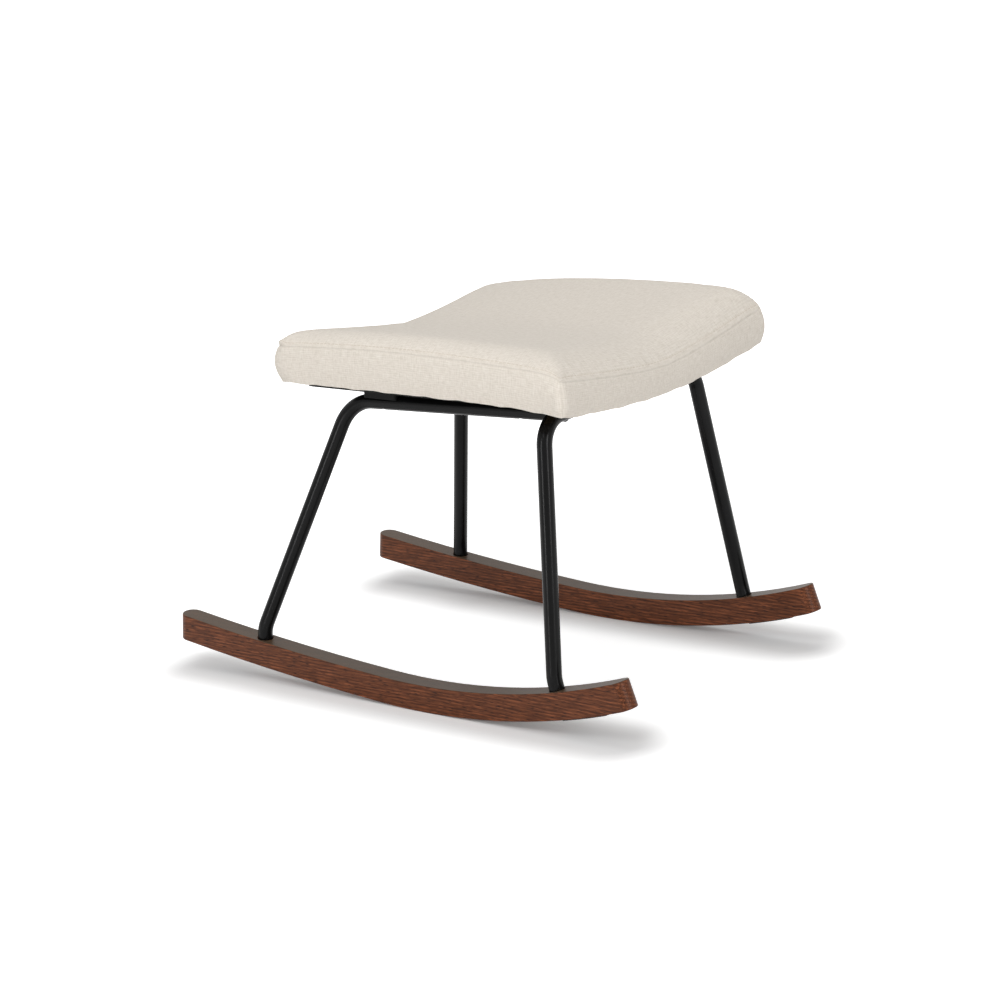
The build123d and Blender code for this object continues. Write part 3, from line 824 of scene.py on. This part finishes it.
    def build(self, cloth: bpy.types.Material, thread: bpy.types.Material) -> bpy.types.Object:
        """Make the cushion and its stitches.

        Args:
            cloth: Material of the cover.
            thread: Material of the stitches.

        Returns:
            The cushion.
        """
        across = self._spread(2 * self.half_width)
        along = self._spread(self.length)
        rings = self._rings(across, along)
        grid = self._top_grid(rings[0], across, along)
        piece, groups = self._mesh(grid, rings)
        self._swell_by_cloth(piece, groups)
        self._sew(piece, groups)
        apply_modifier(piece, "SUBSURF", levels=1, render_levels=1)
        make_active(piece)
        bpy.ops.object.shade_smooth()
        finish_piece(piece, "cushion", cloth,
                     ("cushion_foam", "cover_top", "cover_front_band", "cover_rear_band", "cover_left_band",
                      "cover_right_band", "cover_hem"))
        self._topstitch(piece, thread)
        return piece

    def _rings(self, across: np.ndarray, along: np.ndarray) -> list[np.ndarray]:
        """Closed rings of points from the top seam down the band, under the board and round its edge.

        Args:
            across: Places of the rows along the front and the rear.
            along: Places of the rows along each side.

        Returns:
            The rings, each an array of x, y and z.
        """
        outline = self.outline(0.0, across, along)
        seam = np.array([[x, y, self.seam_height(x, y)] for x, y in outline])
        hem = np.array([[x, y, self.hem_height(x, y)] for x, y in outline])
        normal = self._outward(outline)
        bulge = self._bulge(outline)
        wave = self._waves(outline)
        rings = [seam]
        for t in self.band_rows:
            ring = seam * (1 - t) + hem * t
            profile = math.sin(math.pi * min(t * self.bulge_span, 1.0)) ** self.bulge_power
            ring[:, :2] += normal * (bulge * profile)[:, None]
            ring[:, 2] += wave * t ** self.wave_power
            rings.append(ring)
        for degrees in self.roll_turns:
            turn = math.radians(degrees)
            ring = hem.copy()
            ring[:, :2] -= normal * (self.hem_roll * (1 - math.cos(turn)))
            ring[:, 2] += wave - self.hem_roll * self.roll_sink * math.sin(turn)
            rings.append(ring)
        for inset, rise in self._hem_rows():
            turned = self.outline(inset, across, along)
            rings.append(np.array([[x, y, self.board_under(x) + rise] for x, y in turned]))
        return rings

    def _bulge(self, outline: np.ndarray) -> np.ndarray:
        """How far the band stands out at its fullest.

        Args:
            outline: Points round the seat.

        Returns:
            One distance for each point.
        """
        rearness = np.clip((outline[:, 1] - (self.rear - self.rear_corner)) / self.rear_corner, 0, 1)
        corner = np.minimum(*[np.hypot(outline[:, 0] - side * self.half_width, outline[:, 1] - self.front)
                              for side in (-1, 1)])
        return (self.band_bulge + (self.rear_bulge - self.band_bulge) * rearness
                + self.corner_bulge * np.exp(-corner / self.corner_fade))

    def _hem_rows(self) -> list[tuple[float, float]]:
        """Rows of the hem, from the lower edge inwards under the board, back over it and up round its edge.

        Returns:
            For each row its distance inside the outline and its height over the board's underside.
        """
        edge = self.half_width - self.board_half - self.board_gap
        low, skin, over = -self.hem_thick, -self.hem_skin, self.board_thick + self.board_gap
        return [(edge + self.hem_first, low), (edge + self.hem_second, low),
                (self.hem_inset - self.hem_third, low), (self.hem_inset, low),
                (self.hem_inset + self.hem_lip, low * self.lip_share), (self.hem_inset, skin),
                (edge, skin), (edge, over), (edge + self.over_board, over)]

    def _outward(self, outline: np.ndarray) -> np.ndarray:
        """Unit vectors that point out of a closed outline.

        Args:
            outline: Points round the seat.

        Returns:
            One vector for each point.
        """
        tangent = np.roll(outline, -1, axis=0) - np.roll(outline, 1, axis=0)
        normal = np.stack([tangent[:, 1], -tangent[:, 0]], axis=1)
        return normal / np.linalg.norm(normal, axis=1)[:, None]

    def _waves(self, outline: np.ndarray) -> np.ndarray:
        """Small rises and falls of the lower edge, where the cover is pulled under by its staples.

        Args:
            outline: Points round the seat.

        Returns:
            One height for each point.
        """
        length = np.cumsum(np.linalg.norm(np.roll(outline, -1, axis=0) - outline, axis=1))
        wave = np.zeros(len(outline))
        for size, pitch, start in self.staple_waves:
            wave += size * np.sin(TURN * length / pitch + start)
        return wave

    def _top_grid(self, seam: np.ndarray, across: np.ndarray, along: np.ndarray) -> np.ndarray:
        """Top panel: a grid stretched between the four sides of the seam, raised by the crown.

        Args:
            seam: Points of the seam, from the front left corner.
            across: Places of the rows along the front and the rear.
            along: Places of the rows along each side.

        Returns:
            Rows from front to rear, of points from left to right.
        """
        count_x, count_y = len(across) - 1, len(along) - 1
        front = seam[:count_x + 1]
        right = seam[count_x:count_x + count_y + 1]
        rear = seam[count_x + count_y:2 * count_x + count_y + 1][::-1]
        left = np.concatenate([seam[2 * count_x + count_y:], seam[:1]])[::-1]
        grid = np.zeros((count_y + 1, count_x + 1, 3))
        for j, b in enumerate(along):
            for i, a in enumerate(across):
                point = (front[i] * (1 - b) + rear[i] * b + left[j] * (1 - a) + right[j] * a
                         - front[0] * (1 - a) * (1 - b) - front[-1] * a * (1 - b)
                         - rear[0] * (1 - a) * b - rear[-1] * a * b)
                if 0 < i < count_x and 0 < j < count_y:
                    x, y = point[:2]
                    point[2] = self.seam_height(x, y) + self.crown_height(x, y)
                grid[j, i] = point
        return grid

    def _mesh(self, grid: np.ndarray,
              rings: list[np.ndarray]) -> tuple[bpy.types.Object, dict[str, list[int]]]:
        """Join the top grid and the rings into one closed mesh with a map of its threads.

        Args:
            grid: Top panel's points.
            rings: Rings from the seam to the board's top.

        Returns:
            The object, and vertex numbers: of the seam, of the corner seams, of the part that swells and of
            what is held still in it.
        """
        width = grid.shape[1]
        count_x, count_y = width - 1, grid.shape[0] - 1
        points = grid.reshape(-1, 3).tolist()
        seam = (list(range(count_x)) + [j * width + count_x for j in range(count_y)]
                + [count_y * width + i for i in range(count_x, 0, -1)]
                + [j * width for j in range(count_y, 0, -1)])
        faces = [[j * width + i, j * width + i + 1, (j + 1) * width + i + 1, (j + 1) * width + i]
                 for j in range(count_y) for i in range(count_x)]
        maps = [[(points[v][0], points[v][1]) for v in face] for face in faces]
        loops = [seam]
        for ring in rings[1:]:
            loops.append(list(range(len(points), len(points) + len(ring))))
            points += ring.tolist()
        self._join(loops, rings, faces, maps)
        self._close(points, faces, maps, loops[-1])
        mesh = bpy.data.meshes.new("cushion")
        mesh.from_pydata(points, [], faces)
        layer = mesh.uv_layers.new(name="weave")
        flat = [value for face in maps for pair in face for value in pair]
        layer.data.foreach_set("uv", np.array(flat, np.float32))
        last_row = len(self.band_rows)
        groups = {"seam": seam, "corner": [loop[k] for loop in loops[1:last_row + 1] for k in (0, count_x)],
                  "soft": list(range(loops[last_row + 1][0])), "held": seam + loops[last_row]}
        self._shade_seams(mesh, groups)
        piece = bpy.data.objects.new("cushion", mesh)
        bpy.context.scene.collection.objects.link(piece)
        return piece, groups

    def _join(self, loops: list[list[int]], rings: list[np.ndarray], faces: list[list[int]],
              maps: list[list[tuple[float, float]]]) -> None:
        """Fill the bands between neighbouring rings.

        Args:
            loops: Vertex numbers of the rings.
            rings: Points of the rings.
            faces: Faces of the mesh, added to.
            maps: Map places of the faces, added to.
        """
        total = len(loops[0])
        steps = np.linalg.norm(np.roll(rings[0], -1, axis=0) - rings[0], axis=1)
        length = np.concatenate([[0.0], np.cumsum(steps)])
        depth = 0.0
        for upper, lower, ring_a, ring_b in zip(loops, loops[1:], rings, rings[1:]):
            below = depth - float(np.linalg.norm(ring_b - ring_a, axis=1).mean())
            for k in range(total):
                n = (k + 1) % total
                faces.append([upper[k], lower[k], lower[n], upper[n]])
                maps.append([(length[k], depth), (length[k], below),
                             (length[k + 1], below), (length[k + 1], depth)])
            depth = below

    def _close(self, points: list[list[float]], faces: list[list[int]],
               maps: list[list[tuple[float, float]]], loop: list[int]) -> None:
        """Close the cushion over the board with a fan of faces.

        Args:
            points: Points of the mesh, added to.
            faces: Faces of the mesh, added to.
            maps: Map places of the faces, added to.
            loop: The ring to close.
        """
        start = len(points)
        middle = (self.front + self.rear) / 2
        over = self.board_thick + self.board_gap
        for number in loop:
            x, y = points[number][0] / 2, middle + (points[number][1] - middle) / 2
            points.append([x, y, self.board_under(x) + over])
        points.append([0.0, middle, self.board_under(0.0) + over])
        for k, number in enumerate(loop):
            n = (k + 1) % len(loop)
            faces.append([number, start + k, start + n, loop[n]])
            faces.append([start + k, len(points) - 1, start + n])
            maps += [[(0.0, 0.0)] * 4, [(0.0, 0.0)] * 3]

    def _shade_seams(self, mesh: bpy.types.Mesh, groups: dict[str, list[int]]) -> None:
        """Mark the seams in an attribute, from which the cloth's finish takes a painted shade along them.

        Args:
            mesh: The cushion's mesh.
            groups: Vertex numbers of the seams.
        """
        dips = np.zeros(len(mesh.vertices), np.float32)
        dips[groups["seam"]] = 1.0
        dips[groups["corner"]] = self.corner_seam_share
        mesh.attributes.new("seam", "FLOAT", "POINT").data.foreach_set("value", dips)
        mesh.update()

    def _swell_by_cloth(self, piece: bpy.types.Object, groups: dict[str, list[int]]) -> None:
        """Let the cover swell over its filling, with its seams and its lower edge held still.

        Args:
            piece: The cushion.
            groups: Vertex numbers of the part that swells and of what is held.
        """
        count = len(groups["soft"])
        before = np.array([vertex.co for vertex in piece.data.vertices])
        faces = [list(face.vertices) for face in piece.data.polygons if max(face.vertices) < count]
        mesh = bpy.data.meshes.new("shell")
        mesh.from_pydata(before[:count].tolist(), [], faces)
        shell = bpy.data.objects.new("shell", mesh)
        bpy.context.scene.collection.objects.link(shell)
        pins = shell.vertex_groups.new(name="held")
        pins.add(groups["held"], 1.0, "REPLACE")
        make_active(shell)
        cloth = shell.modifiers.new("Cloth", "CLOTH")
        settings = cloth.settings
        settings.quality = self.cloth_quality
        settings.mass = self.cloth_mass
        settings.tension_stiffness = self.stretch_stiffness
        settings.compression_stiffness = self.stretch_stiffness
        settings.bending_stiffness = self.bend_stiffness
        settings.use_pressure = True
        settings.uniform_pressure_force = self.pressure
        settings.vertex_group_mass = pins.name
        settings.effector_weights.gravity = 0.0
        cloth.point_cache.frame_start = 1
        cloth.point_cache.frame_end = self.cloth_frames
        for number in range(1, self.cloth_frames + 1):
            bpy.context.scene.frame_set(number)
        bpy.ops.object.modifier_apply(modifier=cloth.name)
        bpy.context.scene.frame_set(1)
        moved = np.array([vertex.co for vertex in shell.data.vertices]) - before[:count]
        size = np.linalg.norm(moved, axis=1)
        log.info("the cover swelled by up to %.1f mm, %.1f mm on average", size.max() / MM, size.mean() / MM)
        keep = self.swell_limit * np.tanh(size / self.swell_limit) / np.maximum(size, TINY)
        before[:count] += moved * keep[:, None]
        piece.data.vertices.foreach_set("co", before.ravel())
        piece.data.update()
        bpy.data.objects.remove(shell)

    def _sew(self, piece: bpy.types.Object, groups: dict[str, list[int]]) -> None:
        """Pull the seams in, which leaves a narrow groove along each.

        Args:
            piece: The cushion.
            groups: Vertex numbers of the seams.
        """
        mesh = bmesh.new()
        mesh.from_mesh(piece.data)
        mesh.verts.ensure_lookup_table()
        bmesh.ops.recalc_face_normals(mesh, faces=mesh.faces)
        mesh.normal_update()
        crease = mesh.edges.layers.float.new("crease_edge")
        for name, depth, sharp in (("seam", self.seam_depth, self.seam_crease),
                                   ("corner", self.seam_depth * self.corner_seam_share, self.corner_crease)):
            chosen = set(groups[name])
            for number in chosen:
                vertex = mesh.verts[number]
                vertex.co -= vertex.normal * depth
            for edge in mesh.edges:
                if edge.verts[0].index in chosen and edge.verts[1].index in chosen:
                    edge[crease] = sharp
        mesh.to_mesh(piece.data)
        mesh.free()
        piece.data.update()

    # -- the stitches

    def _topstitch(self, cushion: bpy.types.Object, thread: bpy.types.Material) -> bpy.types.Object:
        """Sew a row of stitches on the top panel, along its seam.

        Args:
            cushion: The finished cushion.
            thread: Material of the stitches.

        Returns:
            The stitches, as one piece.
        """
        tree = BVHTree.FromPolygons([vertex.co.copy() for vertex in cushion.data.vertices],
                                    [list(face.vertices) for face in cushion.data.polygons])
        even = np.linspace(0, 1, self.path_points)
        path = self.outline(self.stitch_inset, even, even)
        steps = np.linalg.norm(np.roll(path, -1, axis=0) - path, axis=1)
        length = np.concatenate([[0.0], np.cumsum(steps)])
        closed = np.vstack([path, path[:1]])
        count = round(length[-1] / self.stitch_pitch)
        verts: list[Vector] = []
        faces: list[list[int]] = []
        for k in range(count):
            ends = []
            for shift in (-0.5, 0.5):
                place = (k / count * length[-1] + shift * self.stitch_length) % length[-1]
                x, y = np.interp(place, length, closed[:, 0]), np.interp(place, length, closed[:, 1])
                guess = Vector((x, y, self.seam_height(x, y) + self.crown_height(x, y)))
                ends.append(tree.find_nearest(guess)[:2])
            self._stitch(verts, faces, ends)
        mesh = bpy.data.meshes.new("topstitch")
        mesh.from_pydata([tuple(point) for point in verts], [], faces)
        piece = bpy.data.objects.new("topstitch", mesh)
        bpy.context.scene.collection.objects.link(piece)
        return finish_piece(piece, "cover_topstitch", thread)

    def _stitch(self, verts: list[Vector], faces: list[list[int]],
                ends: list[tuple[Vector, Vector]]) -> None:
        """Add one stitch: a short thread that dips into the cloth at both ends.

        Args:
            verts: Points of the mesh, added to.
            faces: Faces of the mesh, added to.
            ends: Place and normal of the cloth at both ends.
        """
        (start, normal), (end, _) = ends
        along = (end - start).normalized()
        side = along.cross(normal).normalized()
        up = side.cross(along)
        sides = self.stitch_sides
        first = len(verts)
        for share, rise in self.stitch_rows:
            centre = start.lerp(end, share) + up * (rise * self.stitch_radius)
            for i in range(sides):
                turn = TURN * i / sides
                verts.append(centre + (side * math.cos(turn) + up * math.sin(turn)) * self.stitch_radius)
        last = first + (len(self.stitch_rows) - 1) * sides
        for a in range(first, last, sides):
            for i in range(sides):
                n = (i + 1) % sides
                faces.append([a + i, a + n, a + sides + n, a + sides + i])
        faces.append([first + i for i in reversed(range(sides))])
        faces.append([last + i for i in range(sides)])


# ---------------------------------------------------------------- hard pieces

@dataclass
class HardPieces:
    """Rockers, tubes, boards and fasteners: their shapes come from the frame and are only finished here."""

    frame: dict[str, Any]

    def build(self) -> None:
        """Give every hard piece its finish."""
        wood = StainedAsh().build()
        self._dress(wood, "left_rocker", "right_rocker")
        self._dress(POWDER_COAT.build(), "front_hoop", "left_rear_leg", "right_rear_leg", "rear_cross_rail")
        self._dress(ZINC_PLATE.build(), "leg_plugs", "rocker_washers", "tee_nuts", "cover_staples")
        self._dress(BLACK_OXIDE.build(), "rocker_bolts", "seat_bolts", "panel_screws")
        self._dress(NYLON.build(), "front_spacers", "rear_spacers")
        self._dress(RUBBER.build(), "stop_pads")
        self._dress(BentPlywood().build(), "seat_board")
        self._dress(LACQUERED_PLY.build(), "base_panel")

    def _dress(self, material: bpy.types.Material, *names: str) -> None:
        """Give some nodes of the frame a material.

        Args:
            material: The material.
            *names: Names of the nodes.
        """
        for name in names:
            node = self.frame["nodes"][name]
            node.data.materials.clear()
            node.data.materials.append(material)
            log.info("%s: %s", name, material.name)


# ---------------------------------------------------------------- studio

@dataclass(frozen=True)
class Lamp:
    """One soft lamp that faces the seat."""

    name: str
    place: tuple[float, float, float]
    size: tuple[float, float]           # width and height of its face
    watts: float
    aim: tuple[float, float, float] = (0.0, 0.0, 250 * MM)

    def build(self) -> None:
        """Hang the lamp."""
        data = bpy.data.lights.new(self.name, "AREA")
        data.shape = "RECTANGLE"
        data.size, data.size_y = self.size
        data.energy = self.watts
        lamp = bpy.data.objects.new(self.name, data)
        lamp.location = self.place
        aim = Vector(self.aim) - Vector(self.place)
        lamp.rotation_euler = aim.to_track_quat("-Z", "Y").to_euler()
        bpy.context.scene.collection.objects.link(lamp)


LAMPS = (Lamp("side_strip", (-3.1, 0.35, 0.85), (0.4, 1.5), 23),
         Lamp("front_strip", (-0.85, -3.1, 1.0), (0.4, 1.6), 28),
         Lamp("key", (-2.4, -0.9, 2.9), (1.4, 1.4), 28),
         Lamp("top", (0.2, 0.5, 3.2), (2.6, 2.6), 30))


@dataclass
class Studio:
    """Floor, lamps, sky and camera."""

    # Camera, as solved from the photograph
    focal_pixels: float = 2850.0
    image_pixels: float = 1000.0
    sensor: float = 36.0                # width of the film, in the camera's own millimetres
    azimuth: float = math.radians(-50.468)
    elevation: float = math.radians(15.203)
    roll: float = math.radians(-4.82)
    distance: float = 3596.4 * MM
    slide: tuple[float, float] = (-21.70 * MM, 13.61 * MM)
    aim: tuple[float, float, float] = (0.0, -50.25 * MM, 200 * MM)

    # Floor
    floor_radius: float = 14.0
    floor_sides: int = 96
    floor_colour: str = "f0f0f0"
    floor_roughness: float = 0.9
    painted_shadow_glow: float = 0.08           # painted shadow: the floor glows this little beside the rockers, so a darker band lies along them
    floor_glow: float = 0.55            # and a hand's width away from them
    shadow_from: float = 25 * MM
    shadow_to: float = 95 * MM
    rocker_x: float = 199 * MM
    rocker_reach: float = 330 * MM      # of the painted shadow, to the front and to the rear
    white_from: float = 0.45
    white_to: float = 1.6

    # Sky
    sky_colour: str = "ffffff"
    sky: float = 0.38

    def build(self) -> None:
        """Make the whole studio."""
        self._camera()
        self._floor()
        self._sky()
        for lamp in LAMPS:
            lamp.build()
        bpy.context.scene.view_settings.view_transform = "Standard"

    def _camera(self) -> None:
        """Stand the camera where the photograph was taken from, with its small roll."""
        a, e, r = self.azimuth, self.elevation, self.roll
        back = Vector((math.sin(a) * math.cos(e), -math.cos(a) * math.cos(e), math.sin(e)))
        level = Vector((math.cos(a), math.sin(a), 0.0))
        plumb = back.cross(level)
        right = level * math.cos(r) + plumb * math.sin(r)
        up = plumb * math.cos(r) - level * math.sin(r)
        data = bpy.data.cameras.new("camera")
        data.sensor_width = self.sensor
        data.lens = data.sensor_width * self.focal_pixels / self.image_pixels
        camera = bpy.data.objects.new("camera", data)
        turn = Matrix((right, up, back)).transposed().to_4x4()
        place = Vector(self.aim) + back * self.distance + right * self.slide[0] + up * self.slide[1]
        camera.matrix_world = Matrix.Translation(place) @ turn
        bpy.context.scene.collection.objects.link(camera)
        bpy.context.scene.camera = camera

    def _floor(self) -> None:
        """Lay a plain white floor that keeps the stool's shadow, glows less along the rockers as a painted
        shadow, and turns fully white away from it.
        """
        deselect()
        bpy.ops.mesh.primitive_circle_add(vertices=self.floor_sides, radius=self.floor_radius,
                                          fill_type="NGON")
        floor = bpy.context.active_object
        floor.name = "floor"
        material, tree, shader = new_material("white_paper_floor")
        shader.inputs["Base Color"].default_value = linear(self.floor_colour)
        shader.inputs["Roughness"].default_value = self.floor_roughness
        shader.inputs["Specular IOR Level"].default_value = 0.0
        coordinates = add_node(tree, "ShaderNodeTexCoord")
        away = add_node(tree, "ShaderNodeVectorMath", {0: coordinates.outputs["Object"]}, operation="LENGTH")
        # painted shadow: the floor's glow is lowest along the rockers' lines
        beside = add_node(tree, "ShaderNodeMapRange",
                          {"Value": self._from_rockers(tree, coordinates.outputs["Object"]),
                           "From Min": self.shadow_from, "From Max": self.shadow_to,
                           "To Min": self.painted_shadow_glow, "To Max": self.floor_glow},
                          interpolation_type="SMOOTHSTEP")
        glow = add_node(tree, "ShaderNodeMapRange",
                        {"Value": away.outputs["Value"], "From Min": self.white_from,
                         "From Max": self.white_to, "To Min": beside.outputs["Result"], "To Max": 1.0},
                        interpolation_type="SMOOTHSTEP")
        lift = add_node(tree, "ShaderNodeMath", {0: self._seen(tree), 1: glow.outputs["Result"]},
                        operation="MULTIPLY")
        emission = add_node(tree, "ShaderNodeEmission", {"Strength": lift.outputs[0]})
        both = add_node(tree, "ShaderNodeAddShader", {0: shader.outputs["BSDF"], 1: emission.outputs[0]})
        output = next(n for n in tree.nodes if n.type == "OUTPUT_MATERIAL")
        tree.links.new(both.outputs[0], output.inputs["Surface"])
        floor.data.materials.append(material)

    def _from_rockers(self, tree: bpy.types.NodeTree, place: bpy.types.NodeSocket) -> bpy.types.NodeSocket:
        """Distance on the floor from the nearer rocker's line.

        Args:
            tree: Node tree of the floor's material.
            place: Object coordinates.

        Returns:
            The socket, in metres.
        """
        split = add_node(tree, "ShaderNodeSeparateXYZ", {0: place})
        offsets = []
        for axis, line in (("X", self.rocker_x), ("Y", self.rocker_reach)):
            size = add_node(tree, "ShaderNodeMath", {0: split.outputs[axis]}, operation="ABSOLUTE")
            offsets.append(add_node(tree, "ShaderNodeMath", {0: size.outputs[0], 1: line},
                                    operation="SUBTRACT").outputs[0])
        beyond = add_node(tree, "ShaderNodeMath", {0: offsets[1], 1: 0.0}, operation="MAXIMUM")
        both = add_node(tree, "ShaderNodeCombineXYZ", {0: offsets[0], 1: beyond.outputs[0]})
        return add_node(tree, "ShaderNodeVectorMath", {0: both.outputs[0]},
                        operation="LENGTH").outputs["Value"]

    def _seen(self, tree: bpy.types.NodeTree) -> bpy.types.NodeSocket:
        """1 for a ray from the camera, straight, off something glossy or through something clear, and else 0.

        Args:
            tree: Node tree of a material or of the world.

        Returns:
            The socket.
        """
        path = add_node(tree, "ShaderNodeLightPath")
        direct = add_node(tree, "ShaderNodeMath",
                          {0: path.outputs["Is Camera Ray"], 1: path.outputs["Is Glossy Ray"]},
                          operation="MAXIMUM")
        return add_node(tree, "ShaderNodeMath",
                        {0: direct.outputs[0], 1: path.outputs["Is Transmission Ray"]},
                        operation="MAXIMUM").outputs[0]

    def _sky(self) -> None:
        """Fill the room with soft pale light, and show it white."""
        world = bpy.data.worlds.new("room")
        bpy.context.scene.world = world
        world.use_nodes = True
        tree = world.node_tree
        tree.nodes.clear()
        colour = linear(self.sky_colour)
        light = add_node(tree, "ShaderNodeBackground", {"Color": colour, "Strength": self.sky})
        white = add_node(tree, "ShaderNodeBackground", {"Color": colour, "Strength": 1.0})
        mixed = add_node(tree, "ShaderNodeMixShader",
                         {0: self._seen(tree), 1: light.outputs[0], 2: white.outputs[0]})
        add_node(tree, "ShaderNodeOutputWorld", {"Surface": mixed.outputs[0]})


def main() -> None:
    """Build the stool's looks in order."""
    logging.basicConfig(level=logging.INFO, format="%(name)s: %(message)s")
    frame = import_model()
    Studio().build()
    HardPieces(frame).build()
    Cushion().build(LinenWeave().build(), SEWING_THREAD.build())


if __name__ == "__main__":
    main()
